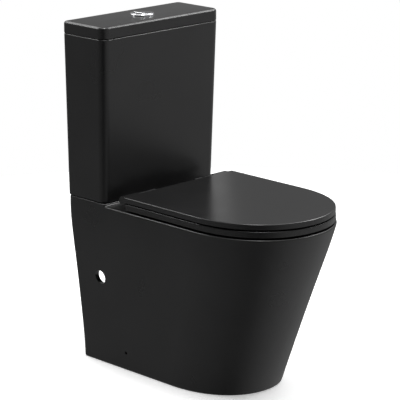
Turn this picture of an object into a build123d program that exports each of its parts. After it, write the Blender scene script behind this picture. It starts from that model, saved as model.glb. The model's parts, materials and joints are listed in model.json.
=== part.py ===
"""Close coupled toilet with a skirted back-to-wall pan, a slim cistern and a soft-close seat.

Millimetres. +Z is up, the front faces -Y, and the wall is the plane y = DEPTH / 2.
The origin is on the floor at the middle of the whole object's footprint.
"""
import os
from math import acos, degrees, radians, sin

from build123d import *

os.makedirs("parts", exist_ok=True)

# ------------------------------------------------------------------ driving dimensions
DEPTH = 640.0               # front of the pan to the wall
WALL_Y = DEPTH / 2
FRONT_Y = -DEPTH / 2
RIM_Z = 411.0               # top of the pan's rim
PLATFORM_Z = 417.0          # raised shelf that the cistern stands on
LID_TOP_Z = 840.0           # top of the cistern lid

# pan skin: height, half width, end of the straight sides, nose length
PAN_LEVELS = (
    (0.0, 141.0, 10.0, 180.0),
    (90.0, 147.5, -16.0, 187.0),
    (190.0, 158.5, -45.0, 194.5),
    (290.0, 171.0, -75.0, 201.5),
    (360.0, 179.0, -95.0, 208.0),
    (PLATFORM_Z, 180.3, -111.5, 211.5),
)
PAN_FULLNESS = 0.60         # how square the nose is: 0.55 is an ellipse
SKIN = 12.0                 # ceramic wall
BACK_CORNER_R = 13.0
FLANGE_WIDTH = 28.0         # return flange along the open back
FLANGE_DEPTH = 25.0
DECK_UNDERSIDE_Z = 397.0
STEP_Y = 190.5              # middle of the shelf's S-shaped front edge
STEP_R = 4.0
RIM_EDGE_R = 3.2
FOOT_EDGE_R = 5.0
BACK_TRIM = 0.1             # sliced off the back, which leaves one true plane against the wall
CUT_REACH = 20.0            # how far a cutter runs past what it cuts
OVERCUT = 1.0               # how far a cutter passes a face that it opens
STEP_TURN = degrees(acos(1 - (PLATFORM_Z - RIM_Z) / (2 * STEP_R)))
STEP_RUN = STEP_R * sin(radians(STEP_TURN))
SKIRT_HOLLOW_LEVELS = (-OVERCUT, 90.0, 190.0, 290.0, DECK_UNDERSIDE_Z)
BACK_OPENING_LEVELS = (-OVERCUT, 190.0, DECK_UNDERSIDE_Z)

# bowl: height, centre y, half width, half length
BOWL_LEVELS = (
    (125.0, -30.0, 36.0, 38.0),
    (165.0, -36.0, 52.0, 58.0),
    (215.0, -50.0, 70.0, 86.0),
    (270.0, -74.0, 100.0, 128.0),
    (330.0, -94.0, 124.0, 163.0),
    (380.0, -100.0, 132.0, 175.0),
    (RIM_Z + 1.0, -100.0, 132.0, 175.0),
)
BOWL_WALL = 11.0
BOWL_SOLE_SPREAD = 4.0      # how much wider the outside of the bowl's sole is
BOWL_EDGE_R = 6.0
SUMP_TOP_Z = 232.0          # where the bowl's lower part, with the way into the trap, begins
TRAP_ROUTE = ((-45.0, 165.0), (25.0, 106.0), (130.0, 326.0), (228.0, 185.0), (305.0, 185.0))
TRAP_BEND_R = 60.0
SPIGOT_R = 51.0
TRAP_BORE_R = 40.0
VALVE_Y = 248.0             # the flush way, the flush valve and the button stand on this line
FLUSH_ROUTE = ((VALVE_Y, DECK_UNDERSIDE_Z), (VALVE_Y, 360.0), (50.0, 360.0))
FLUSH_BEND_R = 36.0
FLUSH_R = 34.0
FLUSH_BORE_R = 26.0
FLUSH_HUB_R = 62.0
FLUSH_HUB_DEPTH = 17.0
COUPLING_POCKET_R = 55.0    # the hole in the shelf round the flush valve's back nut
COUPLING_HOLE_R = 5.5
INLET_HOLE_R = 34.0         # the hole in the shelf round the fill valve's tail
SEAT_FIXING_HOLE_R = 6.0

# cistern
TANK_TOP_Z = 811.0
TANK_BOTTOM_Z = 419.0
TANK_TOP = (190.0, 177.0)       # half width and front y at the top
TANK_BOTTOM = (182.5, 189.0)    # half width and front y at the bottom
TANK_FRONT_CORNER_R = 19.0
TANK_BACK_CORNER_R = 12.0
TANK_FOOT_EDGE_R = 3.0
TANK_TOP_EDGE_R = 2.5
TANK_WALL = 9.0
TANK_FLOOR = 14.0
TANK_INNER_FRONT_R = 12.0
TANK_INNER_BACK_R = 7.0
TANK_INNER_Z = TANK_BOTTOM_Z + TANK_FLOOR
VALVE_HOLE_R = 31.0
FILL_HOLE_R = 11.5
LID_BOTTOM_Z = 812.0
LID_PLATE = 10.0
LID_HOLLOW_Z = LID_TOP_Z - LID_PLATE
LID_EDGE_R = 6.5
LID_FOOT_EDGE_R = 1.5
LIP_DROP = 9.0                  # how far the lid's lip hangs into the tank
LIP_INSET = 12.0
LIP_WALL = 6.0
LIP_ROOT = 5.0                  # how far the lip runs up into the lid
LIP_CORNERS_R = (9.0, 7.0)      # at the front and at the back
LIP_HOLLOW_CORNERS_R = (7.0, 5.0)
REST_PAD_R = 3.0
REST_PAD_HEIGHT = 0.6
REST_PAD_X = TANK_TOP[0] - 60.0
REST_PAD_INSET = 6.0
SEATING_PAD_X = 130.0
SEATING_PAD_WIDTH = 32.0
SEATING_PAD_Y = (198.0, 212.0)  # from and to

FILL_X = -125.0
FILL_Y = 250.0
COUPLING_X = 72.0
SIDE_HOLE_Y = 229.0
SIDE_HOLE_Z = 226.0
SIDE_HOLE_R = 17.0
FIXING_HOLE_Y = 162.0
FIXING_HOLE_Z = 45.0
FIXING_HOLE_R = 4.0
BOLT_R = 4.0                    # the two bolts that clamp the tank to the pan
BOLT_END_Z = 372.0
BOLT_HEAD_R = 7.5
BOLT_HEAD_HEIGHT = 5.5
RUBBER_WASHER_R = 13.0
STEEL_WASHER_R = 10.0
STEEL_WASHER_THICKNESS = 1.6
WING_HUB_R = 8.0
WING_THICKNESS = 4.0
WING_EDGE_R = 1.5
COUPLING_NUT_HEIGHT = 9.0
COUPLING_WING_REACH = 9.5

# seat
SEAT_BOTTOM_Z = 416.0
SEAT_TOP_Z = 430.5
SEAT_LID_BOTTOM_Z = 434.0
SEAT_LID_TOP_Z = 447.0
SEAT_BACK_Y = 125.0
HINGE_Y = 137.0
HINGE_Z = 434.0
HINGE_PIN_R = 4.0
RUNNING = 0.05                  # radial clearance of a running fit
POST_X = 78.0
POST_WIDTH = 24.0
SEAT_LUG = (92.0, 122.0)        # the seat's hinge lugs, from and to, each side
LID_LUG = (124.0, 172.0)        # the lid's hinge lugs, from and to, each side
SEAT_LUG_R = 10.0
LID_LUG_R = 11.0
LID_DAMPER_R = 8.5
SEAT_DAMPER_R = 7.5
SEAT_SHAPE = (178.0, -108.0, 209.0)         # half width, end of the straight sides, nose length
SEAT_FULLNESS = 0.61
SEAT_CORNER_R = 8.0
SEAT_OPENING = (-118.0, 114.0, 142.0)       # centre y, half width, half length
SEAT_OPENING_TOP_R = 7.0
SEAT_OPENING_FOOT_R = 3.0
SEAT_EDGE_R = 3.5
SEAT_LUG_Y = 112.0
SEAT_LID_SHAPE = (181.0, -112.0, 206.5)
SEAT_LID_FULLNESS = 0.575
SEAT_LID_BACK_Y = SEAT_BACK_Y + 1.0
SEAT_LID_CORNER_R = 6.0
SEAT_LID_TOP_EDGE_R = 2.4
SEAT_LID_FOOT_EDGE_R = 1.2
LID_RECESS_SHAPE = (165.0, -108.0, 194.0)
LID_RECESS_BACK_Y = SEAT_BACK_Y - 19.0
LID_RECESS_CORNER_R = 12.0
LID_RECESS_DEPTH = 6.0
LID_LUG_Y = 118.0
SEAT_DAMPER_X = (-SEAT_LUG[0] - 1.0, -SEAT_LUG[1])
LID_DAMPER_X = LID_LUG[0] + 2.0
PIN_END = LID_LUG[1] - 2.0
PIN_START = POST_X - POST_WIDTH / 2 - 3.0
PIN_END_PLAY = 0.5
POST_R = 9.5
POST_DEPTH = 12.0
POST_FOOT_R = 11.0
POST_FOOT_Z = (RIM_Z + 4.0, RIM_Z + 8.0)    # from and to
PLATE_R = 22.0
PLATE_THICKNESS = 4.0
PLATE_EDGE_R = 1.0
SEAT_BOLT_R = 3.0
SEAT_BOLT_HEAD_R = 6.0
SEAT_BOLT_HEAD_HEIGHT = 2.0
SEAT_BOLT_END_Z = 350.0
SEAT_WASHER_R = 12.0
SEAT_WASHER_THICKNESS = 5.0
SEAT_NUT_HEIGHT = 10.0
SEAT_WING_REACH = 14.0
SEAT_BUFFER_R = 8.0
SEAT_BUFFER_PLACES = ((112.0, -228.0), (152.0, 40.0))
LID_BUFFER_R = 6.0
LID_BUFFER_PLACES = ((118.0, -205.0), (140.0, 20.0))
BUFFER_GAP = 0.4                # left under a buffer when it is closed

# button
BUTTON_R = 23.7
BUTTON_EDGE_R = 0.9
BEZEL_R = 29.0
BEZEL_BORE_R = 24.0
BEZEL_TUBE_R = 26.4
BEZEL_HEIGHT = 4.0
BEZEL_EDGE_R = 2.4
BEZEL_MOUTH_R = 0.7
LID_HOLE_R = 27.0
LOCKNUT_R = 36.0
LOCKNUT_HEIGHT = 8.0
LOCKNUT_SIDES = 8
BUTTON_TOP_Z = 844.5
SPLIT_X = -5.0                  # the gap between the two buttons
SPLIT_GAP = 0.8
BUTTON_BOTTOM_Z = 834.0
SPLIT_CUT = 100.0               # side of the square that cuts away the other button
GUIDE_Z = 806.0                 # top of the guide that closes the bezel's tube
GUIDE_THICKNESS = 5.0
LEVER_Y = VALVE_Y + 16.0
FULL_ROD = (9.0, LEVER_Y)
HALF_ROD = (-12.0, VALVE_Y - 12.0)
ROD_R = 2.0
ROD_PLAY = 0.4
SPRING_R = 3.4
SPRING_WIRE_R = 0.4
SPRING_TURNS = 6

# flush valve
SHANK_BOTTOM_Z = 399.0
SHANK_R = 30.0
WASHER_THICKNESS = 3.0          # the rubber washers on the tank's floor
COLLAR_Z = TANK_INNER_Z + WASHER_THICKNESS
COLLAR_TOP_Z = COLLAR_Z + 4.0
COLLAR_R = 41.0
VALVE_WASHER_R = 40.0
SEAL_Z = COLLAR_TOP_Z + 4.0
VALVE_SEAT_R = 28.0
VALVE_BORE_R = 25.0
CAGE_LEG_R = 36.0               # the cage's legs stand on this circle
CAGE_LEG = (5.0, 8.0, 82.0)
CAGE_LEG_Z = COLLAR_Z + 44.0    # middle of the legs
CAGE_RING_R = (39.0, 33.0)      # outside and inside
CAGE_RING_HEIGHT = 6.0
BACK_NUT_R = 37.0
BACK_NUT_HEIGHT = 9.0
BACK_NUT_RIB_R = 36.0
BACK_NUT_RIB = (7.0, 8.0)
BACK_NUT_RIBS = 6
GASKET_R = (53.0, 41.5)         # outside and inside
TOWER_Z = 522.0
TOWER_R = (38.0, 35.5)          # outside and inside
TOWER_WINDOW_R = 37.0
TOWER_WINDOW = (12.0, 16.0, 60.0)
TOWER_WINDOW_Z = TOWER_Z + 50.0
BRIDGE_Z = 694.0
BRIDGE_TOP_Z = BRIDGE_Z + 5.0
BRIDGE_HOLE_PLAY = 0.5
LEVER_Z = BRIDGE_Z + 19.0
LEVER_PIN_R = 1.5
LEVER_ENDS = (-23.0, 12.5)      # along X, either side of the pin
ARM_HEIGHT = 5.0
ARM_WIDTH = 4.0
EAR_OFFSETS = (-4.2, 2.4)       # the two ears that hold a pivot pin, each side of its arm
EAR_THICKNESS = 1.8
EAR_WIDTH = 8.0
EAR_RISE = 4.0                  # how far an ear rises above its pin
PIN_HALF_LENGTH = 4.2
LUG_Z = LEVER_Z + 3.0
LUG_HEIGHT = 4.0
LUG_BLOCKS = (                  # x from and to, y from and to: out from the tube, then over the lever
    (-27.0, -8.0, VALVE_Y - 4.0, VALVE_Y + 8.0),
    (-27.0, -15.0, VALVE_Y + 8.0, LEVER_Y + 3.0),
)
OVERFLOW_R = 11.0
OVERFLOW_BORE_R = 9.0
OVERFLOW_TOP_Z = BRIDGE_Z + 36.0
OVERFLOW_FOOT_Z = SEAL_Z + 2.0
OVERFLOW_FLANGE_R = 26.0
OVERFLOW_FLANGE_HEIGHT = 4.0
SEAL_R = 29.0
SEAL_GAP = 0.4                  # between the seal and its seat
VALVE_FLOAT_R = 24.0
VALVE_FLOAT_Z = (SEAL_Z + 26.0, SEAL_Z + 66.0)
FULL_ROD_TIP_Z = LEVER_Z + 2.9
HALF_ROD_TIP_Z = BRIDGE_Z - 4.0
INLET_BOTTOM_Z = 365.0          # end of the fill valve's half inch tail
INLET_R = 10.4
FILL_SHANK_R = 11.0             # the fill valve's shank through the tank's floor
FILL_NUT_BOTTOM_Z = TANK_BOTTOM_Z - 8.0
FILL_NUT_R = 19.0
FILL_COLLAR_R = 17.0
FILL_WASHER_R = 16.0
FILL_STEM_R = 9.0
FILL_BORE_R = 5.0
HEAD_Z = 690.0
HEAD_R = 18.0
HEAD_TOP_Z = HEAD_Z + 22.0
FILL_BORE_TOP_Z = HEAD_Z + 10.0
CAP_TOP_Z = HEAD_TOP_Z + 5.0
CAP_EDGE_R = 2.0
ARM_Z = HEAD_Z + 32.0
ARM_PIVOT_X = FILL_X - 8.0
ARM_ENDS = (ARM_PIVOT_X - 4.0, ARM_PIVOT_X + 35.0)
FLOAT_ROD_X = FILL_X + 21.5
FLOAT_R = (24.0, 9.5)           # outside and inside
FLOAT_Z = (600.0, 650.0)
FLOAT_ROD_TOP_Z = ARM_Z - 2.9


# ------------------------------------------------------------------ shared outlines
def d_face(half_width, shoulder_y, nose, back_y, fullness=PAN_FULLNESS, corner_r=0.0):
    """A D in plan: straight back and sides, and a rounded nose towards -Y."""
    tip_y = shoulder_y - nose
    reach = fullness * nose
    spread = fullness * half_width
    with BuildSketch() as face:
        with BuildLine():
            Polyline(
                (-half_width, shoulder_y), (-half_width, back_y),
                (half_width, back_y), (half_width, shoulder_y),
            )
            for side in (1, -1):
                Bezier(
                    (side * half_width, shoulder_y), (side * half_width, shoulder_y - reach),
                    (side * spread, tip_y), (0, tip_y),
                )
        make_face()
        if corner_r:
            fillet(face.vertices().filter_by(lambda v: abs(v.Y - back_y) < 0.01), corner_r)
    return face.sketch


def box_face(half_width, front_y, back_y, front_r, back_r):
    """A rectangle in plan with its own corner radii at the front and at the back."""
    with BuildSketch() as face:
        with Locations((0, (front_y + back_y) / 2)):
            Rectangle(2 * half_width, back_y - front_y)
        fillet(face.vertices().sort_by(Axis.Y)[:2], front_r)
        fillet(face.vertices().sort_by(Axis.Y)[-2:], back_r)
    return face.sketch


def oval_face(center_y, half_width, half_length):
    with BuildSketch() as face:
        with Locations((0, center_y)):
            Ellipse(half_width, half_length)
    return face.sketch


def ring(x, y, z0, z1, outer_r, inner_r=0.0):
    """An upright tube, or a rod where there is no inner radius."""
    with BuildPart() as piece:
        with BuildSketch(Plane.XY.offset(z0)):
            with Locations((x, y)):
                Circle(outer_r)
                if inner_r:
                    Circle(inner_r, mode=Mode.SUBTRACT)
        extrude(amount=z1 - z0)
    return piece.part


def barrel(x0, x1, outer_r, inner_r=0.0):
    """A tube on the seat's hinge axis, between two places along X."""
    with BuildPart() as piece:
        with BuildSketch(Plane.YZ.offset(min(x0, x1))):
            with Locations((HINGE_Y, HINGE_Z)):
                Circle(outer_r)
                if inner_r:
                    Circle(inner_r, mode=Mode.SUBTRACT)
        extrude(amount=abs(x1 - x0))
    return piece.part


def block(x0, x1, y0, y1, z0, z1):
    """A box between two places along each axis; the two along X may be in either order."""
    with BuildPart() as piece:
        with Locations(((x0 + x1) / 2, (y0 + y1) / 2, (z0 + z1) / 2)):
            Box(abs(x1 - x0), y1 - y0, z1 - z0)
    return piece.part


def pipe(route, bend_r, radius):
    """A round rod that follows a route in the plane x = 0."""
    with BuildPart() as piece:
        with BuildLine(Plane.YZ) as line:
            FilletPolyline(*route, radius=bend_r)
        with BuildSketch(Plane(line.line @ 0, z_dir=line.line % 0)):
            Circle(radius)
        sweep(path=line.line)
    return piece.part


def wing_nut(x, y, z0, z1, bore_r, wing_reach):
    """A round hub with two flat wings along X."""
    with BuildPart() as piece:
        with BuildSketch(Plane.XY.offset(z0)):
            with Locations((x, y)):
                Circle(WING_HUB_R)
                Rectangle(2 * wing_reach, WING_THICKNESS)
                Circle(bore_r, mode=Mode.SUBTRACT)
        extrude(amount=z1 - z0)
        uprights = piece.edges().filter_by(Axis.Z)
        fillet(uprights.filter_by(lambda e: abs(e.center().X - x) > wing_reach - 1), WING_EDGE_R)
    return piece.part


def pin_along_y(x, z, y0, y1, radius):
    with BuildPart() as piece:
        with BuildSketch(Plane.XZ.offset(-y1)):
            with Locations((x, z)):
                Circle(radius)
        extrude(amount=y1 - y0)
    return piece.part


def arm_along_x(x0, x1, y, z, pivot_x):
    """A flat bar with a pivot hole through it along Y."""
    with BuildPart() as piece:
        with BuildSketch(Plane.XZ.offset(-y - ARM_WIDTH / 2)):
            with Locations(((x0 + x1) / 2, z)):
                SlotOverall(x1 - x0, ARM_HEIGHT)
            with Locations((pivot_x, z)):
                Circle(LEVER_PIN_R + RUNNING, mode=Mode.SUBTRACT)
        extrude(amount=ARM_WIDTH)
    return piece.part


def pivot_ears(x, y, foot_z, pin_z):
    """The two upright ears that hold a pivot pin along Y, with the pin's hole through them."""
    with BuildPart() as piece:
        for offset in EAR_OFFSETS:
            start_y, end_y = y + offset, y + offset + EAR_THICKNESS
            add(block(x - EAR_WIDTH / 2, x + EAR_WIDTH / 2, start_y, end_y, foot_z, pin_z + EAR_RISE))
        add(pin_along_y(x, pin_z, y - EAR_WIDTH, y + EAR_WIDTH, LEVER_PIN_R), mode=Mode.SUBTRACT)
    return piece.part


def save(part, name):
    part.label = name
    export_step(part, f"parts/{name}.step")
    print(f"{name:24s} {len(part.solids())} solids  {part.volume / 1000:10.2f} cm3")


# ------------------------------------------------------------------ pan
def pan_section(height):
    """Half width, shoulder and nose of the pan's skin at a height, between two levels."""
    for low, high in zip(PAN_LEVELS, PAN_LEVELS[1:]):
        if low[0] <= height <= high[0]:
            share = (height - low[0]) / (high[0] - low[0])
            return tuple(a + share * (b - a) for a, b in zip(low[1:], high[1:]))
    return PAN_LEVELS[-1][1:]


def is_top_edge(edge):
    """Whether an edge runs round the outside of the pan's top."""
    place = edge.center()
    outside = abs(place.X) > 165 or place.Y < -150
    return place.Z > RIM_Z - 0.5 and place.Y < WALL_Y - 1 and outside


def is_foot_edge(edge):
    """Whether an edge runs round the outside of the pan's foot, except along the wall."""
    return edge.center().Z < 0.5 and edge.center().Y < WALL_Y - 1


def is_bowl_edge(edge):
    """Whether an edge is the bowl's mouth."""
    return edge.is_closed and abs(edge.center().Z - RIM_Z) < 0.1 and edge.length > 500


def is_seat_opening(edge):
    return edge.is_closed


def is_seat_skirt(edge):
    """Whether an edge is on the seat's outline."""
    return not edge.is_closed


step_corners = (
    (FRONT_Y - CUT_REACH, PLATFORM_Z + CUT_REACH),
    (FRONT_Y - CUT_REACH, RIM_Z),
    (STEP_Y - STEP_RUN, RIM_Z),
)
step_ends = (
    (STEP_Y + CUT_REACH, PLATFORM_Z),
    (STEP_Y + CUT_REACH, PLATFORM_Z + CUT_REACH),
)
deck_plane = Plane.XY.offset(DECK_UNDERSIDE_Z)

# the outside of the whole casting
with BuildPart() as casting:
    for level, half_width, shoulder, nose in PAN_LEVELS:
        with BuildSketch(Plane.XY.offset(level)):
            add(d_face(half_width, shoulder, nose, WALL_Y + BACK_TRIM, corner_r=BACK_CORNER_R))
    loft()
    split(bisect_by=Plane.XZ.offset(-WALL_Y), keep=Keep.TOP)
    with BuildSketch(Plane.YZ):
        with BuildLine():
            Polyline(*step_corners)
            rise = JernArc(step_corners[-1], (1, 0), STEP_R, STEP_TURN)
            crest = JernArc(rise @ 1, rise % 1, STEP_R, -STEP_TURN)
            Polyline(crest @ 1, *step_ends, step_corners[0])
        make_face()
    extrude(amount=DEPTH / 2, both=True, mode=Mode.SUBTRACT)
    fillet(casting.edges().filter_by(is_top_edge), RIM_EDGE_R)
    fillet(casting.edges().filter_by(is_foot_edge), FOOT_EDGE_R)

# the bowl's outside and inside
bowl_mouth = (DECK_UNDERSIDE_Z, *BOWL_LEVELS[-1][1:])
with BuildPart() as bowl_outside:
    sole_z, sole_y, sole_half_width, sole_half_length = BOWL_LEVELS[0]
    with BuildSketch(Plane.XY.offset(sole_z - BOWL_WALL)):
        add(oval_face(sole_y, sole_half_width + BOWL_SOLE_SPREAD, sole_half_length + BOWL_SOLE_SPREAD))
    for level, center_y, half_width, half_length in (*BOWL_LEVELS[1:-2], bowl_mouth):
        with BuildSketch(Plane.XY.offset(level)):
            add(oval_face(center_y, half_width + BOWL_WALL, half_length + BOWL_WALL))
    loft()

with BuildPart() as bowl_inside:
    for level, center_y, half_width, half_length in BOWL_LEVELS:
        with BuildSketch(Plane.XY.offset(level)):
            add(oval_face(center_y, half_width, half_length))
    loft()

trap_bore = pipe(TRAP_ROUTE, TRAP_BEND_R, TRAP_BORE_R)
flush_bore = pipe(FLUSH_ROUTE, FLUSH_BEND_R, FLUSH_BORE_R)

# the deck: the rim, the shelf under the cistern and the holes through them
with BuildPart() as deck:
    add(casting.part)
    split(bisect_by=deck_plane, keep=Keep.TOP)
    add(bowl_inside.part, mode=Mode.SUBTRACT)
    with BuildSketch(deck_plane.offset(-OVERCUT)):
        with Locations((0, VALVE_Y)):
            Circle(COUPLING_POCKET_R)
        with Locations((-COUPLING_X, VALVE_Y), (COUPLING_X, VALVE_Y)):
            Circle(COUPLING_HOLE_R)
        with Locations((FILL_X, FILL_Y), (-FILL_X, FILL_Y)):
            Circle(INLET_HOLE_R)
        with Locations((-POST_X, HINGE_Y), (POST_X, HINGE_Y)):
            Circle(SEAT_FIXING_HOLE_R)
    extrude(amount=CUT_REACH + 2 * OVERCUT, mode=Mode.SUBTRACT)
    fillet(deck.edges().filter_by(is_bowl_edge), BOWL_EDGE_R)
save(deck.part, "pan_deck")

# the skirt: a D-shaped wall, open at the floor and at the wall, with a flange down each back edge
with BuildPart() as skirt:
    add(casting.part)
    split(bisect_by=deck_plane, keep=Keep.BOTTOM)
    for level in SKIRT_HOLLOW_LEVELS:
        half_width, shoulder, nose = pan_section(max(level, 0.0))
        with BuildSketch(Plane.XY.offset(level)):
            add(d_face(half_width - SKIN, shoulder, nose - SKIN, WALL_Y - FLANGE_DEPTH))
    loft(mode=Mode.SUBTRACT)
    for level in BACK_OPENING_LEVELS:
        half_width = pan_section(max(level, 0.0))[0] - FLANGE_WIDTH
        with BuildSketch(Plane.XY.offset(level)):
            with Locations((0, WALL_Y - FLANGE_DEPTH)):
                Rectangle(2 * half_width, 2 * (FLANGE_DEPTH + 2 * OVERCUT))
    loft(mode=Mode.SUBTRACT)
    with BuildSketch(Plane.YZ):
        with Locations((SIDE_HOLE_Y, SIDE_HOLE_Z)):
            Circle(SIDE_HOLE_R)
        with Locations((FIXING_HOLE_Y, FIXING_HOLE_Z)):
            Circle(FIXING_HOLE_R)
    extrude(amount=DEPTH / 2, both=True, mode=Mode.SUBTRACT)
save(skirt.part, "pan_skirt")

with BuildPart() as bowl:
    add(bowl_outside.part)
    add(bowl_inside.part, mode=Mode.SUBTRACT)
    add(trap_bore, mode=Mode.SUBTRACT)
    add(flush_bore, mode=Mode.SUBTRACT)
for name, keep in (("pan_bowl", Keep.TOP), ("pan_sump", Keep.BOTTOM)):
    with BuildPart() as bowl_piece:
        add(bowl.part)
        split(bisect_by=Plane.XY.offset(SUMP_TOP_Z), keep=keep)
    save(bowl_piece.part, name)

with BuildPart() as trapway:
    add(pipe(TRAP_ROUTE, TRAP_BEND_R, SPIGOT_R))
    add(bowl_outside.part, mode=Mode.SUBTRACT)
    add(trap_bore, mode=Mode.SUBTRACT)
save(trapway.part, "pan_trapway")

with BuildPart() as flushway:
    add(pipe(FLUSH_ROUTE, FLUSH_BEND_R, FLUSH_R))
    add(ring(0, VALVE_Y, DECK_UNDERSIDE_Z - FLUSH_HUB_DEPTH, DECK_UNDERSIDE_Z, FLUSH_HUB_R))
    add(bowl_outside.part, mode=Mode.SUBTRACT)
    add(flush_bore, mode=Mode.SUBTRACT)
save(flushway.part, "pan_flushway")


# ------------------------------------------------------------------ cistern
def tank_outline(height, inset, front_r, back_r):
    """The tapering tank's outline at a height, drawn in by a wall's thickness."""
    share = (height - TANK_BOTTOM_Z) / (TANK_TOP_Z - TANK_BOTTOM_Z)
    half_width = TANK_BOTTOM[0] + share * (TANK_TOP[0] - TANK_BOTTOM[0])
    front_y = TANK_BOTTOM[1] + share * (TANK_TOP[1] - TANK_BOTTOM[1])
    return box_face(half_width - inset, front_y + inset, WALL_Y - inset, front_r, back_r)


with BuildPart() as tank:
    for level in (TANK_BOTTOM_Z, TANK_TOP_Z):
        with BuildSketch(Plane.XY.offset(level)):
            add(tank_outline(level, 0, TANK_FRONT_CORNER_R, TANK_BACK_CORNER_R))
    loft(ruled=True)
    fillet(tank.faces().sort_by(Axis.Z)[0].edges(), TANK_FOOT_EDGE_R)
    fillet(tank.faces().sort_by(Axis.Z)[-1].edges(), TANK_TOP_EDGE_R)
    for level in (TANK_INNER_Z, TANK_TOP_Z + OVERCUT):
        with BuildSketch(Plane.XY.offset(level)):
            add(tank_outline(level, TANK_WALL, TANK_INNER_FRONT_R, TANK_INNER_BACK_R))
    loft(ruled=True, mode=Mode.SUBTRACT)
    with BuildSketch(Plane.XY.offset(TANK_BOTTOM_Z - OVERCUT)):
        with Locations((0, VALVE_Y)):
            Circle(VALVE_HOLE_R)
        with Locations((-COUPLING_X, VALVE_Y), (COUPLING_X, VALVE_Y)):
            Circle(COUPLING_HOLE_R)
        with Locations((FILL_X, FILL_Y)):
            Circle(FILL_HOLE_R)
    extrude(amount=TANK_FLOOR + 2 * OVERCUT, mode=Mode.SUBTRACT)
save(tank.part, "cistern_tank")

lid_half_width, lid_front_y = TANK_TOP


def lip_outline(inset, front_r, back_r):
    """The lid's outline, drawn in all round."""
    return box_face(lid_half_width - inset, lid_front_y + inset, WALL_Y - inset, front_r, back_r)


with BuildPart() as cistern_lid:
    with BuildSketch(Plane.XY.offset(LID_BOTTOM_Z)):
        add(box_face(lid_half_width, lid_front_y, WALL_Y, TANK_FRONT_CORNER_R, TANK_BACK_CORNER_R))
    extrude(amount=LID_TOP_Z - LID_BOTTOM_Z)
    fillet(cistern_lid.faces().sort_by(Axis.Z)[-1].edges(), LID_EDGE_R)
    fillet(cistern_lid.faces().sort_by(Axis.Z)[0].edges(), LID_FOOT_EDGE_R)
    with BuildSketch(Plane.XY.offset(LID_BOTTOM_Z - LIP_DROP)):
        add(lip_outline(LIP_INSET, *LIP_CORNERS_R))
    extrude(amount=LIP_DROP + LIP_ROOT)
    with BuildSketch(Plane.XY.offset(LID_BOTTOM_Z - LIP_DROP)):
        add(lip_outline(LIP_INSET + LIP_WALL, *LIP_HOLLOW_CORNERS_R))
    extrude(amount=LID_HOLLOW_Z - LID_BOTTOM_Z + LIP_DROP, mode=Mode.SUBTRACT)
    with Locations((0, VALVE_Y, LID_TOP_Z)):
        Hole(LID_HOLE_R, depth=LID_PLATE + OVERCUT)
save(cistern_lid.part, "cistern_lid")

with BuildPart() as rest_pads:
    for x in (-REST_PAD_X, REST_PAD_X):
        for y in (lid_front_y + REST_PAD_INSET, WALL_Y - REST_PAD_INSET):
            add(ring(x, y, TANK_TOP_Z, TANK_TOP_Z + REST_PAD_HEIGHT, REST_PAD_R))
save(rest_pads.part, "lid_rest_pads")

with BuildPart() as seating_pads:
    for x in (-SEATING_PAD_X, SEATING_PAD_X):
        start_x, end_x = x - SEATING_PAD_WIDTH / 2, x + SEATING_PAD_WIDTH / 2
        add(block(start_x, end_x, *SEATING_PAD_Y, PLATFORM_Z, TANK_BOTTOM_Z))
save(seating_pads.part, "cistern_seating_pads")

# ------------------------------------------------------------------ flush button
with BuildPart() as bezel:
    add(ring(0, VALVE_Y, LID_TOP_Z, LID_TOP_Z + BEZEL_HEIGHT, BEZEL_R))
    fillet(bezel.faces().sort_by(Axis.Z)[-1].edges(), BEZEL_EDGE_R)
    add(ring(0, VALVE_Y, GUIDE_Z, LID_TOP_Z, BEZEL_TUBE_R))
    bore_top_z = LID_TOP_Z + BEZEL_HEIGHT + OVERCUT
    add(ring(0, VALVE_Y, GUIDE_Z - OVERCUT, bore_top_z, BEZEL_BORE_R), mode=Mode.SUBTRACT)
    fillet(bezel.faces().sort_by(Axis.Z)[-1].edges().sort_by(SortBy.LENGTH)[0], BEZEL_MOUTH_R)
save(bezel.part, "button_bezel")

with BuildPart() as guide:
    add(ring(0, VALVE_Y, GUIDE_Z - GUIDE_THICKNESS, GUIDE_Z, BEZEL_TUBE_R))
    with Locations((*FULL_ROD, GUIDE_Z), (*HALF_ROD, GUIDE_Z)):
        Hole(ROD_R + ROD_PLAY)
save(guide.part, "button_guide")

with BuildPart() as locknut:
    with BuildSketch(Plane.XY.offset(LID_HOLLOW_Z - LOCKNUT_HEIGHT)):
        with Locations((0, VALVE_Y)):
            RegularPolygon(LOCKNUT_R, LOCKNUT_SIDES)
            Circle(BEZEL_TUBE_R, mode=Mode.SUBTRACT)
    extrude(amount=LOCKNUT_HEIGHT)
save(locknut.part, "button_locknut")


def button(side, name):
    """Half of the round button, on one side of the split."""
    with BuildPart() as piece:
        with BuildSketch(Plane.XY.offset(BUTTON_BOTTOM_Z)):
            with Locations((0, VALVE_Y)):
                Circle(BUTTON_R)
            with Locations((SPLIT_X + side * (SPLIT_GAP - SPLIT_CUT) / 2, VALVE_Y)):
                Rectangle(SPLIT_CUT, SPLIT_CUT, mode=Mode.SUBTRACT)
        extrude(amount=BUTTON_TOP_Z - BUTTON_BOTTOM_Z)
        fillet(piece.faces().sort_by(Axis.Z)[-1].edges(), BUTTON_EDGE_R)
    save(piece.part, name)


button(1, "flush_button_full")
button(-1, "flush_button_half")
save(ring(*FULL_ROD, FULL_ROD_TIP_Z, BUTTON_BOTTOM_Z, ROD_R), "push_rod_full")
save(ring(*HALF_ROD, HALF_ROD_TIP_Z, BUTTON_BOTTOM_Z, ROD_R), "push_rod_half")

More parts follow.
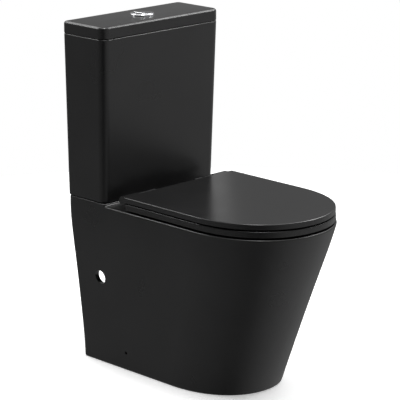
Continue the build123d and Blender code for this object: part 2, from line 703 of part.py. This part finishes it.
for rod, name in ((FULL_ROD, "button_spring_full"), (HALF_ROD, "button_spring_half")):
    spring_height = BUTTON_BOTTOM_Z - GUIDE_Z - 2 * SPRING_WIRE_R
    with BuildPart() as spring:
        with BuildLine() as coil:
            start = (*rod, GUIDE_Z + SPRING_WIRE_R)
            Helix(spring_height / SPRING_TURNS, spring_height, SPRING_R, center=start)
        with BuildSketch(Plane(coil.line @ 0, z_dir=coil.line % 0)):
            Circle(SPRING_WIRE_R)
        sweep(path=coil.line, is_frenet=True)
    save(spring.part, name)

# ------------------------------------------------------------------ flush valve
with BuildPart() as valve_base:
    add(ring(0, VALVE_Y, SHANK_BOTTOM_Z, COLLAR_Z, SHANK_R))
    add(ring(0, VALVE_Y, COLLAR_Z, COLLAR_TOP_Z, COLLAR_R))
    add(ring(0, VALVE_Y, COLLAR_TOP_Z, SEAL_Z, VALVE_SEAT_R))
    with Locations((0, VALVE_Y, CAGE_LEG_Z)):
        with PolarLocations(CAGE_LEG_R, 4, start_angle=45):
            Box(*CAGE_LEG)
    add(ring(0, VALVE_Y, TOWER_Z - CAGE_RING_HEIGHT, TOWER_Z, *CAGE_RING_R))
    with Locations((0, VALVE_Y, SEAL_Z)):
        Hole(VALVE_BORE_R)
save(valve_base.part, "flush_valve_base")
save(ring(0, VALVE_Y, TANK_INNER_Z, COLLAR_Z, VALVE_WASHER_R, SHANK_R), "flush_valve_washer")

with BuildPart() as back_nut:
    with BuildSketch(Plane.XY.offset(TANK_BOTTOM_Z - BACK_NUT_HEIGHT)):
        with Locations((0, VALVE_Y)):
            Circle(BACK_NUT_R)
            with PolarLocations(BACK_NUT_RIB_R, BACK_NUT_RIBS):
                Rectangle(*BACK_NUT_RIB)
            Circle(SHANK_R, mode=Mode.SUBTRACT)
    extrude(amount=BACK_NUT_HEIGHT)
save(back_nut.part, "flush_valve_back_nut")
save(ring(0, VALVE_Y, DECK_UNDERSIDE_Z, TANK_BOTTOM_Z, *GASKET_R), "coupling_gasket")

with BuildPart() as tower:
    add(ring(0, VALVE_Y, TOWER_Z, BRIDGE_Z, *TOWER_R))
    with Locations((0, VALVE_Y, TOWER_WINDOW_Z)):
        with PolarLocations(TOWER_WINDOW_R, 4, start_angle=45):
            Box(*TOWER_WINDOW, mode=Mode.SUBTRACT)
save(tower.part, "flush_valve_tower")

with BuildPart() as bridge:
    add(ring(0, VALVE_Y, BRIDGE_Z, BRIDGE_TOP_Z, TOWER_R[0]))
    with Locations((0, VALVE_Y, BRIDGE_TOP_Z)):
        Hole(OVERFLOW_R + BRIDGE_HOLE_PLAY)
    with Locations((*HALF_ROD, BRIDGE_TOP_Z)):
        Hole(ROD_R + BRIDGE_HOLE_PLAY)
    add(pivot_ears(0, LEVER_Y, BRIDGE_TOP_Z, LEVER_Z))
save(bridge.part, "flush_valve_bridge")

pin_ends = (LEVER_Y - PIN_HALF_LENGTH, LEVER_Y + PIN_HALF_LENGTH)
save(pin_along_y(0, LEVER_Z, *pin_ends, LEVER_PIN_R), "lever_pin")
save(arm_along_x(*LEVER_ENDS, LEVER_Y, LEVER_Z, 0), "flush_lever")

with BuildPart() as overflow:
    add(ring(0, VALVE_Y, OVERFLOW_FOOT_Z, OVERFLOW_TOP_Z, OVERFLOW_R))
    flange_top_z = OVERFLOW_FOOT_Z + OVERFLOW_FLANGE_HEIGHT
    add(ring(0, VALVE_Y, OVERFLOW_FOOT_Z, flange_top_z, OVERFLOW_FLANGE_R))
    for x0, x1, y0, y1 in LUG_BLOCKS:
        add(block(x0, x1, y0, y1, LUG_Z, LUG_Z + LUG_HEIGHT))
    add(ring(0, VALVE_Y, SEAL_Z, OVERFLOW_TOP_Z + OVERCUT, OVERFLOW_BORE_R), mode=Mode.SUBTRACT)
save(overflow.part, "overflow_tube")
save(ring(0, VALVE_Y, SEAL_Z + SEAL_GAP, OVERFLOW_FOOT_Z, SEAL_R, OVERFLOW_BORE_R), "flush_seal")
save(ring(0, VALVE_Y, *VALVE_FLOAT_Z, VALVE_FLOAT_R, OVERFLOW_R), "flush_valve_float")

# ------------------------------------------------------------------ fill valve
with BuildPart() as fill_valve:
    add(ring(FILL_X, FILL_Y, INLET_BOTTOM_Z, FILL_NUT_BOTTOM_Z, INLET_R))
    add(ring(FILL_X, FILL_Y, FILL_NUT_BOTTOM_Z, COLLAR_Z, FILL_SHANK_R))
    add(ring(FILL_X, FILL_Y, COLLAR_Z, COLLAR_TOP_Z, FILL_COLLAR_R))
    add(ring(FILL_X, FILL_Y, COLLAR_TOP_Z, HEAD_Z, FILL_STEM_R))
    add(ring(FILL_X, FILL_Y, HEAD_Z, HEAD_TOP_Z, HEAD_R))
    add(ring(FILL_X, FILL_Y, INLET_BOTTOM_Z - OVERCUT, FILL_BORE_TOP_Z, FILL_BORE_R), mode=Mode.SUBTRACT)
save(fill_valve.part, "fill_valve_body")
save(ring(FILL_X, FILL_Y, TANK_INNER_Z, COLLAR_Z, FILL_WASHER_R, FILL_SHANK_R), "fill_valve_washer")

with BuildPart() as fill_nut:
    with BuildSketch(Plane.XY.offset(FILL_NUT_BOTTOM_Z)):
        with Locations((FILL_X, FILL_Y)):
            RegularPolygon(FILL_NUT_R, 6)
            Circle(FILL_SHANK_R, mode=Mode.SUBTRACT)
    extrude(amount=TANK_BOTTOM_Z - FILL_NUT_BOTTOM_Z)
save(fill_nut.part, "fill_valve_locknut")

with BuildPart() as fill_cap:
    add(ring(FILL_X, FILL_Y, HEAD_TOP_Z, CAP_TOP_Z, HEAD_R))
    fillet(fill_cap.faces().sort_by(Axis.Z)[-1].edges(), CAP_EDGE_R)
    add(pivot_ears(ARM_PIVOT_X, FILL_Y, CAP_TOP_Z - 1, ARM_Z))
save(fill_cap.part, "fill_valve_cap")
pin_ends = (FILL_Y - PIN_HALF_LENGTH, FILL_Y + PIN_HALF_LENGTH)
save(pin_along_y(ARM_PIVOT_X, ARM_Z, *pin_ends, LEVER_PIN_R), "float_arm_pin")
save(arm_along_x(*ARM_ENDS, FILL_Y, ARM_Z, ARM_PIVOT_X), "float_arm")

with BuildPart() as fill_float:
    add(ring(FILL_X, FILL_Y, *FLOAT_Z, *FLOAT_R))
    add(ring(FLOAT_ROD_X, FILL_Y, FLOAT_Z[1] - 1, FLOAT_ROD_TOP_Z, ROD_R))
save(fill_float.part, "fill_valve_float")

# ------------------------------------------------------------------ tank to pan fixings
with BuildPart() as coupling_bolts:
    for x in (-COUPLING_X, COUPLING_X):
        add(ring(x, VALVE_Y, BOLT_END_Z, COLLAR_Z, BOLT_R))
        with BuildSketch(Plane.XY.offset(COLLAR_Z)):
            with Locations((x, VALVE_Y)):
                RegularPolygon(BOLT_HEAD_R, 6)
        extrude(amount=BOLT_HEAD_HEIGHT)
save(coupling_bolts.part, "coupling_bolts")

with BuildPart() as coupling_washers:
    for x in (-COUPLING_X, COUPLING_X):
        add(ring(x, VALVE_Y, TANK_INNER_Z, COLLAR_Z, RUBBER_WASHER_R, BOLT_R))
save(coupling_washers.part, "coupling_rubber_washers")

nut_top_z = DECK_UNDERSIDE_Z - STEEL_WASHER_THICKNESS
with BuildPart() as steel_washers:
    for x in (-COUPLING_X, COUPLING_X):
        add(ring(x, VALVE_Y, nut_top_z, DECK_UNDERSIDE_Z, STEEL_WASHER_R, BOLT_R))
save(steel_washers.part, "coupling_steel_washers")

with BuildPart() as coupling_nuts:
    for x in (-COUPLING_X, COUPLING_X):
        nut_span = (nut_top_z - COUPLING_NUT_HEIGHT, nut_top_z)
        add(wing_nut(x, VALVE_Y, *nut_span, BOLT_R, COUPLING_WING_REACH))
save(coupling_nuts.part, "coupling_wing_nuts")

# ------------------------------------------------------------------ seat
with BuildPart() as seat_ring:
    with BuildSketch(Plane.XY.offset(SEAT_BOTTOM_Z)):
        add(d_face(*SEAT_SHAPE, SEAT_BACK_Y, SEAT_FULLNESS, SEAT_CORNER_R))
        add(oval_face(*SEAT_OPENING), mode=Mode.SUBTRACT)
    extrude(amount=SEAT_TOP_Z - SEAT_BOTTOM_Z)
    seat_top = seat_ring.faces().sort_by(Axis.Z)[-1].edges()
    fillet(seat_top.filter_by(is_seat_opening), SEAT_OPENING_TOP_R)
    seat_top = seat_ring.faces().sort_by(Axis.Z)[-1].edges()
    fillet(seat_top.filter_by(is_seat_skirt), SEAT_EDGE_R)
    seat_foot = seat_ring.faces().sort_by(Axis.Z)[0].edges()
    fillet(seat_foot.filter_by(is_seat_opening), SEAT_OPENING_FOOT_R)
    for side in (-1, 1):
        inner_x, outer_x = side * SEAT_LUG[0], side * SEAT_LUG[1]
        add(block(inner_x, outer_x, SEAT_LUG_Y, HINGE_Y, HINGE_Z - SEAT_LUG_R, SEAT_TOP_Z))
        add(barrel(inner_x, outer_x, SEAT_LUG_R))
        add(barrel(inner_x, outer_x, HINGE_PIN_R + RUNNING), mode=Mode.SUBTRACT)
    add(barrel(*SEAT_DAMPER_X, SEAT_DAMPER_R), mode=Mode.SUBTRACT)
save(seat_ring.part, "seat_ring")
save(barrel(*SEAT_DAMPER_X, SEAT_DAMPER_R, HINGE_PIN_R + RUNNING), "seat_damper")

with BuildPart() as seat_lid:
    with BuildSketch(Plane.XY.offset(SEAT_LID_BOTTOM_Z)):
        add(d_face(*SEAT_LID_SHAPE, SEAT_LID_BACK_Y, SEAT_LID_FULLNESS, SEAT_LID_CORNER_R))
    extrude(amount=SEAT_LID_TOP_Z - SEAT_LID_BOTTOM_Z)
    fillet(seat_lid.faces().sort_by(Axis.Z)[-1].edges(), SEAT_LID_TOP_EDGE_R)
    fillet(seat_lid.faces().sort_by(Axis.Z)[0].edges(), SEAT_LID_FOOT_EDGE_R)
    with BuildSketch(Plane.XY.offset(SEAT_LID_BOTTOM_Z)):
        add(d_face(*LID_RECESS_SHAPE, LID_RECESS_BACK_Y, SEAT_LID_FULLNESS, LID_RECESS_CORNER_R))
    extrude(amount=LID_RECESS_DEPTH, mode=Mode.SUBTRACT)
    for side in (-1, 1):
        inner_x, outer_x = side * LID_LUG[0], side * LID_LUG[1]
        add(block(inner_x, outer_x, LID_LUG_Y, HINGE_Y, HINGE_Z, HINGE_Z + LID_LUG_R))
        add(barrel(inner_x, outer_x, LID_LUG_R))
        add(barrel(inner_x, side * (PIN_END + PIN_END_PLAY), HINGE_PIN_R + RUNNING), mode=Mode.SUBTRACT)
    add(barrel(LID_DAMPER_X, LID_LUG[1], LID_DAMPER_R), mode=Mode.SUBTRACT)
save(seat_lid.part, "seat_lid")

with BuildPart() as lid_damper:
    add(barrel(LID_DAMPER_X, LID_LUG[1], LID_DAMPER_R))
    add(barrel(LID_LUG[0], PIN_END + PIN_END_PLAY, HINGE_PIN_R + RUNNING), mode=Mode.SUBTRACT)
save(lid_damper.part, "lid_damper")

for side, name in ((-1, "left"), (1, "right")):
    inner_x, outer_x = side * (POST_X - POST_WIDTH / 2), side * (POST_X + POST_WIDTH / 2)
    front_y, back_y = HINGE_Y - POST_DEPTH / 2, HINGE_Y + POST_DEPTH / 2
    with BuildPart() as post:
        add(barrel(inner_x, outer_x, POST_R))
        add(block(inner_x, outer_x, front_y, back_y, sum(POST_FOOT_Z) / 2, HINGE_Z))
        add(ring(side * POST_X, HINGE_Y, *POST_FOOT_Z, POST_FOOT_R))
        add(barrel(inner_x, outer_x, HINGE_PIN_R), mode=Mode.SUBTRACT)
    save(post.part, f"hinge_post_{name}")
    save(barrel(side * PIN_START, side * PIN_END, HINGE_PIN_R), f"hinge_pin_{name}")

plate_top_z = RIM_Z + PLATE_THICKNESS
bolt_head_z = plate_top_z - SEAT_BOLT_HEAD_HEIGHT
with BuildPart() as base_plates:
    for x in (-POST_X, POST_X):
        add(ring(x, HINGE_Y, RIM_Z, plate_top_z, PLATE_R))
    fillet(base_plates.edges().filter_by(GeomType.CIRCLE).group_by(Axis.Z)[-1], PLATE_EDGE_R)
    with Locations((-POST_X, HINGE_Y, plate_top_z), (POST_X, HINGE_Y, plate_top_z)):
        CounterBoreHole(SEAT_BOLT_R, SEAT_BOLT_HEAD_R, SEAT_BOLT_HEAD_HEIGHT)
save(base_plates.part, "hinge_base_plates")

with BuildPart() as seat_bolts:
    for x in (-POST_X, POST_X):
        add(ring(x, HINGE_Y, bolt_head_z, plate_top_z, SEAT_BOLT_HEAD_R))
        add(ring(x, HINGE_Y, SEAT_BOLT_END_Z, bolt_head_z, SEAT_BOLT_R))
save(seat_bolts.part, "seat_fixing_bolts")

washer_foot_z = DECK_UNDERSIDE_Z - SEAT_WASHER_THICKNESS
with BuildPart() as seat_washers:
    for x in (-POST_X, POST_X):
        add(ring(x, HINGE_Y, washer_foot_z, DECK_UNDERSIDE_Z, SEAT_WASHER_R, SEAT_BOLT_R))
save(seat_washers.part, "seat_fixing_washers")

with BuildPart() as seat_nuts:
    for x in (-POST_X, POST_X):
        nut_span = (washer_foot_z - SEAT_NUT_HEIGHT, washer_foot_z)
        add(wing_nut(x, HINGE_Y, *nut_span, SEAT_BOLT_R, SEAT_WING_REACH))
save(seat_nuts.part, "seat_fixing_nuts")

with BuildPart() as seat_buffers:
    for reach, y in SEAT_BUFFER_PLACES:
        for x in (-reach, reach):
            add(ring(x, y, RIM_Z + BUFFER_GAP, SEAT_BOTTOM_Z, SEAT_BUFFER_R))
save(seat_buffers.part, "seat_buffers")

with BuildPart() as lid_buffers:
    for reach, y in LID_BUFFER_PLACES:
        for x in (-reach, reach):
            add(ring(x, y, SEAT_TOP_Z + BUFFER_GAP, SEAT_LID_BOTTOM_Z + LID_RECESS_DEPTH, LID_BUFFER_R))
save(lid_buffers.part, "lid_buffers")
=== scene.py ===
"""Looks of the close coupled toilet: satin black glaze, moulded seat, chrome button, inner pieces."""
import json
import math

import bpy
from mathutils import Matrix, Vector

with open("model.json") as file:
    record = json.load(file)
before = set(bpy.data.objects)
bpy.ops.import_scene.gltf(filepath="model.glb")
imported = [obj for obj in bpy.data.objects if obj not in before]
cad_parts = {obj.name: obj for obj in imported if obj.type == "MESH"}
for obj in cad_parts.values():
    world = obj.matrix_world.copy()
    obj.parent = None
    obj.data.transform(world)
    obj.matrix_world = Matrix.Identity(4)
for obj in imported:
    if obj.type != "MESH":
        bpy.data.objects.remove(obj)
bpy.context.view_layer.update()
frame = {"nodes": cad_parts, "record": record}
scene = bpy.context.scene

# ------------------------------------------------------------------ camera
CAMERA_PLACE = (-3.3020, -3.2889, 1.6901)
CAMERA_YAW = 0.7794107          # radians from +Y towards +X
CAMERA_PITCH = 0.2641234        # radians below the horizon
CAMERA_ROLL = -0.001673
SENSOR = 36.0
LENS = 184.93
CLIP_END = 100.0


def make_camera():
    forward = Vector((
        math.sin(CAMERA_YAW) * math.cos(CAMERA_PITCH),
        math.cos(CAMERA_YAW) * math.cos(CAMERA_PITCH),
        -math.sin(CAMERA_PITCH),
    ))
    level_right = Vector((math.cos(CAMERA_YAW), -math.sin(CAMERA_YAW), 0.0))
    level_up = level_right.cross(forward)
    right = math.cos(CAMERA_ROLL) * level_right + math.sin(CAMERA_ROLL) * level_up
    up = math.cos(CAMERA_ROLL) * level_up - math.sin(CAMERA_ROLL) * level_right
    data = bpy.data.cameras.new("camera")
    data.sensor_width = SENSOR
    data.lens = LENS
    data.clip_end = CLIP_END
    camera = bpy.data.objects.new("camera", data)
    camera.matrix_world = Matrix((
        (right.x, up.x, -forward.x, CAMERA_PLACE[0]),
        (right.y, up.y, -forward.y, CAMERA_PLACE[1]),
        (right.z, up.z, -forward.z, CAMERA_PLACE[2]),
        (0.0, 0.0, 0.0, 1.0),
    ))
    scene.collection.objects.link(camera)
    scene.camera = camera


make_camera()
scene.view_settings.view_transform = "Standard"
scene.view_settings.look = "None"


# ------------------------------------------------------------------ node helpers
NOISE_MIDDLE = (0.3, 0.7)       # where most of a noise texture's values lie
CLOUD_DETAIL = 3.0
GRAIN_DETAIL = 2.0


def node_tree(material):
    material.use_nodes = True
    tree = material.node_tree
    tree.nodes.clear()
    return tree


def new_node(tree, kind, **inputs):
    """A shader node, with its inputs set by name (underscores stand for spaces)."""
    node = tree.nodes.new(kind)
    for name, value in inputs.items():
        node.inputs[name.replace("_", " ")].default_value = value
    return node


def link(tree, source, output, target, name):
    tree.links.new(source.outputs[output], target.inputs[name])


def surface(name, base_color, **sockets):
    """A Principled material; returns it with its tree and shader, so that detail can be wired in."""
    material = bpy.data.materials.new(name)
    tree = node_tree(material)
    shader = new_node(tree, "ShaderNodeBsdfPrincipled", **sockets)
    shader.inputs["Base Color"].default_value = (*base_color, 1.0)
    output = tree.nodes.new("ShaderNodeOutputMaterial")
    link(tree, shader, "BSDF", output, "Surface")
    return material, tree, shader


def noise(tree, scale, detail=CLOUD_DETAIL):
    """Noise laid out in the object's own metres; its scale is in features a metre."""
    place = tree.nodes.new("ShaderNodeTexCoord")
    texture = new_node(tree, "ShaderNodeTexNoise", Scale=scale, Detail=detail)
    link(tree, place, "Object", texture, "Vector")
    return texture


def map_range(tree, source, output, from_range, to_range):
    """Maps one range of a value to another, without going past its ends."""
    ramp = tree.nodes.new("ShaderNodeMapRange")
    for side, (low, high) in (("From", from_range), ("To", to_range)):
        ramp.inputs[f"{side} Min"].default_value = low
        ramp.inputs[f"{side} Max"].default_value = high
    link(tree, source, output, ramp, "Value")
    return ramp


def tint(tree, shader, texture, color, share):
    """Base colour that drifts a little darker and lighter with a noise texture."""
    ramp = tree.nodes.new("ShaderNodeValToRGB")
    factors = (1.0 - share, 1.0 + share)
    for element, position, factor in zip(ramp.color_ramp.elements, NOISE_MIDDLE, factors):
        element.position = position
        element.color = (*(factor * channel for channel in color), 1.0)
    link(tree, texture, "Fac", ramp, "Fac")
    link(tree, ramp, "Color", shader, "Base Color")


def vary_roughness(tree, shader, texture, low, high):
    rough = map_range(tree, texture, "Fac", NOISE_MIDDLE, (low, high))
    link(tree, rough, "Result", shader, "Roughness")


def bump(tree, shader, texture, distance):
    node = new_node(tree, "ShaderNodeBump", Distance=distance)
    link(tree, texture, "Fac", node, "Height")
    link(tree, node, "Normal", shader, "Normal")


# ------------------------------------------------------------------ materials
BLACK = (0.007, 0.007, 0.0072)
WHITE = (0.80, 0.81, 0.80)
BLUE = (0.05, 0.20, 0.48)
RUBBER = (0.02, 0.02, 0.02)
BUFFER_GREY = (0.22, 0.22, 0.23)
HINGE_BLACK = (0.02, 0.02, 0.021)
CHROME = (0.80, 0.81, 0.83)
STEEL = (0.62, 0.62, 0.64)
MOULDED_SPREAD = 0.05           # how far a moulded finish's roughness drifts each way
MOULDED_GRAIN = 700.0
MOULDED_GRAIN_DEPTH = 0.00003
MOULDED_CLOUDS = 40.0
MOULDED_TINT = 0.06


def coated(name, color, clouds_scale, tint_share, roughness, grain_scale, grain_depth):
    """A smooth dark coat: slow clouds in its colour and roughness, and a fine grain in its surface."""
    material, tree, shader = surface(name, color)
    clouds = noise(tree, clouds_scale)
    tint(tree, shader, clouds, color, tint_share)
    vary_roughness(tree, shader, clouds, *roughness)
    bump(tree, shader, noise(tree, grain_scale, GRAIN_DETAIL), grain_depth)
    return material


def moulded(name, color, roughness):
    """Moulded plastic or rubber with a fine grain."""
    material, tree, shader = surface(name, color)
    grain = noise(tree, MOULDED_GRAIN, GRAIN_DETAIL)
    tint(tree, shader, noise(tree, MOULDED_CLOUDS), color, MOULDED_TINT)
    vary_roughness(tree, shader, grain, roughness - MOULDED_SPREAD, roughness + MOULDED_SPREAD)
    bump(tree, shader, grain, MOULDED_GRAIN_DEPTH)
    return material


def metal(name, color, grain_scale, tint_share, roughness):
    material, tree, shader = surface(name, color, Metallic=1.0)
    grain = noise(tree, grain_scale)
    tint(tree, shader, grain, color, tint_share)
    vary_roughness(tree, shader, grain, *roughness)
    return material


finishes = {
    "satin_black_ceramic": coated(
        "satin_black_ceramic", BLACK, clouds_scale=9.0, tint_share=0.15,
        roughness=(0.27, 0.33), grain_scale=900.0, grain_depth=0.00002,
    ),
    "black_seat_plastic": coated(
        "black_seat_plastic", BLACK, clouds_scale=12.0, tint_share=0.10,
        roughness=(0.22, 0.26), grain_scale=1400.0, grain_depth=0.000015,
    ),
    "chrome": metal("chrome", CHROME, 60.0, 0.03, (0.05, 0.09)),
    "white_plastic": moulded("white_plastic", WHITE, 0.35),
    "blue_plastic": moulded("blue_plastic", BLUE, 0.38),
    "black_rubber": moulded("black_rubber", RUBBER, 0.7),
    "grey_buffer_rubber": moulded("grey_buffer_rubber", BUFFER_GREY, 0.6),
    "stainless_steel": metal("stainless_steel", STEEL, 400.0, 0.05, (0.22, 0.36)),
    "black_hinge_plastic": moulded("black_hinge_plastic", HINGE_BLACK, 0.4),
}
for entry in frame["record"]["subparts"]:
    mesh = frame["nodes"][entry["node"]].data
    mesh.materials.clear()
    mesh.materials.append(finishes[entry["material_slot"]])


# ------------------------------------------------------------------ studio
STUDIO_WHITE = (1.0, 1.0, 1.0, 1.0)
TO_RIGHT = (0.711, -0.703, 0.0)         # across the view, level
TO_LEFT = (-0.711, 0.703, 0.0)
BACK_AND_UP = (0.497, 0.503, 0.707)     # away from the view, half way up
DOWN = (0.0, 0.0, -1.0)

# how bright the studio's walls are: way looked at, where the light begins and is full, brightness
WORLD_BASE = 0.05
WORLD_SIDES = (
    (TO_RIGHT, -0.05, 0.90, 0.46),
    (TO_LEFT, 0.05, 0.95, 0.185),
    (BACK_AND_UP, 0.64, 1.10, 0.35),
    (DOWN, 0.30, 0.75, 0.07),
)

FLOOR_RADIUS = 2.0
FLOOR_SIDES = 128
FLOOR_CLOUDS = 3.0
FLOOR_ROUGHNESS = (0.85, 0.95)
FLOOR_SHADE = 0.94
FLOOR_GLOW = 0.30                       # lifts the shadow on the floor to a pale grey
SKYLIGHT_STRENGTH = 1.5
SKYLIGHT_ANGLE = 60.0                   # degrees across

# lights: name, place, target, size, radiance
SOFTBOXES = (
    ("right_softbox", (1.60, 0.15, 2.10), (0.0, 0.0, 0.4), (1.1, 1.1), 5.0),
    ("back_softbox", (0.0, 1.75, 2.10), (0.0, 0.1, 0.4), (1.1, 1.1), 4.0),
    ("front_edge_softbox", (1.50, -0.80, 2.10), (0.0, 0.18, 0.8), (0.6, 0.6), 14.0),
    ("side_edge_softbox", (-1.18, 1.75, 2.10), (-0.19, 0.25, 0.8), (0.6, 0.6), 14.0),
    ("top_softbox", (-0.25, -0.25, 2.60), (0.0, 0.1, 0.5), (0.55, 0.55), 22.0),
    ("seat_strip", (0.526, 0.816, 0.78), (0.0, 0.0, 0.60), (0.5, 0.36), 0.33),
)


def facing(tree, direction, low, high, value):
    """Brightness that rises from 0 to value as the way looked at turns towards a direction."""
    place = tree.nodes.new("ShaderNodeTexCoord")
    dot = tree.nodes.new("ShaderNodeVectorMath")
    dot.operation = "DOT_PRODUCT"
    dot.inputs[1].default_value = direction
    tree.links.new(place.outputs["Generated"], dot.inputs[0])
    ramp = map_range(tree, dot, "Value", (low, high), (0.0, value))
    ramp.interpolation_type = "SMOOTHSTEP"
    return ramp


def make_world():
    """Soft walls of light for the object, and plain white for the camera."""
    world = bpy.data.worlds.new("studio")
    world.use_nodes = True
    tree = world.node_tree
    tree.nodes.clear()
    total = tree.nodes.new("ShaderNodeValue")
    total.outputs[0].default_value = WORLD_BASE
    for direction, low, high, value in WORLD_SIDES:
        part = facing(tree, direction, low, high, value)
        plus = tree.nodes.new("ShaderNodeMath")
        plus.operation = "ADD"
        tree.links.new(total.outputs[0], plus.inputs[0])
        tree.links.new(part.outputs["Result"], plus.inputs[1])
        total = plus
    lit = new_node(tree, "ShaderNodeBackground", Color=STUDIO_WHITE)
    tree.links.new(total.outputs[0], lit.inputs["Strength"])
    shown = new_node(tree, "ShaderNodeBackground", Color=STUDIO_WHITE, Strength=1.0)
    path = tree.nodes.new("ShaderNodeLightPath")
    mix = tree.nodes.new("ShaderNodeMixShader")
    link(tree, path, "Is Camera Ray", mix, "Fac")
    tree.links.new(lit.outputs[0], mix.inputs[1])
    tree.links.new(shown.outputs[0], mix.inputs[2])
    output = tree.nodes.new("ShaderNodeOutputWorld")
    tree.links.new(mix.outputs[0], output.inputs["Surface"])
    scene.world = world


def softbox(name, place, target, size, radiance):
    """A rectangular light of a given brightness, which the camera doesn't see."""
    data = bpy.data.lights.new(name, "AREA")
    data.shape = "RECTANGLE"
    data.size, data.size_y = size
    data.energy = radiance * math.pi * size[0] * size[1]
    lamp = bpy.data.objects.new(name, data)
    lamp.location = place
    lamp.rotation_euler = (Vector(target) - Vector(place)).to_track_quat("-Z", "Y").to_euler()
    lamp.visible_camera = False
    scene.collection.objects.link(lamp)


def skylight(strength, angle):
    data = bpy.data.lights.new("skylight", "SUN")
    data.energy = strength
    data.angle = math.radians(angle)
    scene.collection.objects.link(bpy.data.objects.new("skylight", data))


def make_floor():
    bpy.ops.mesh.primitive_circle_add(vertices=FLOOR_SIDES, radius=FLOOR_RADIUS, fill_type="NGON")
    floor = bpy.context.object
    floor.name = "floor"
    floor.visible_glossy = False
    material, tree, shader = surface("floor", (FLOOR_SHADE, FLOOR_SHADE, FLOOR_SHADE))
    shader.inputs["Emission Color"].default_value = STUDIO_WHITE
    shader.inputs["Emission Strength"].default_value = FLOOR_GLOW
    vary_roughness(tree, shader, noise(tree, FLOOR_CLOUDS), *FLOOR_ROUGHNESS)
    floor.data.materials.append(material)


make_world()
make_floor()
skylight(SKYLIGHT_STRENGTH, SKYLIGHT_ANGLE)
for lamp in SOFTBOXES:
    softbox(*lamp)
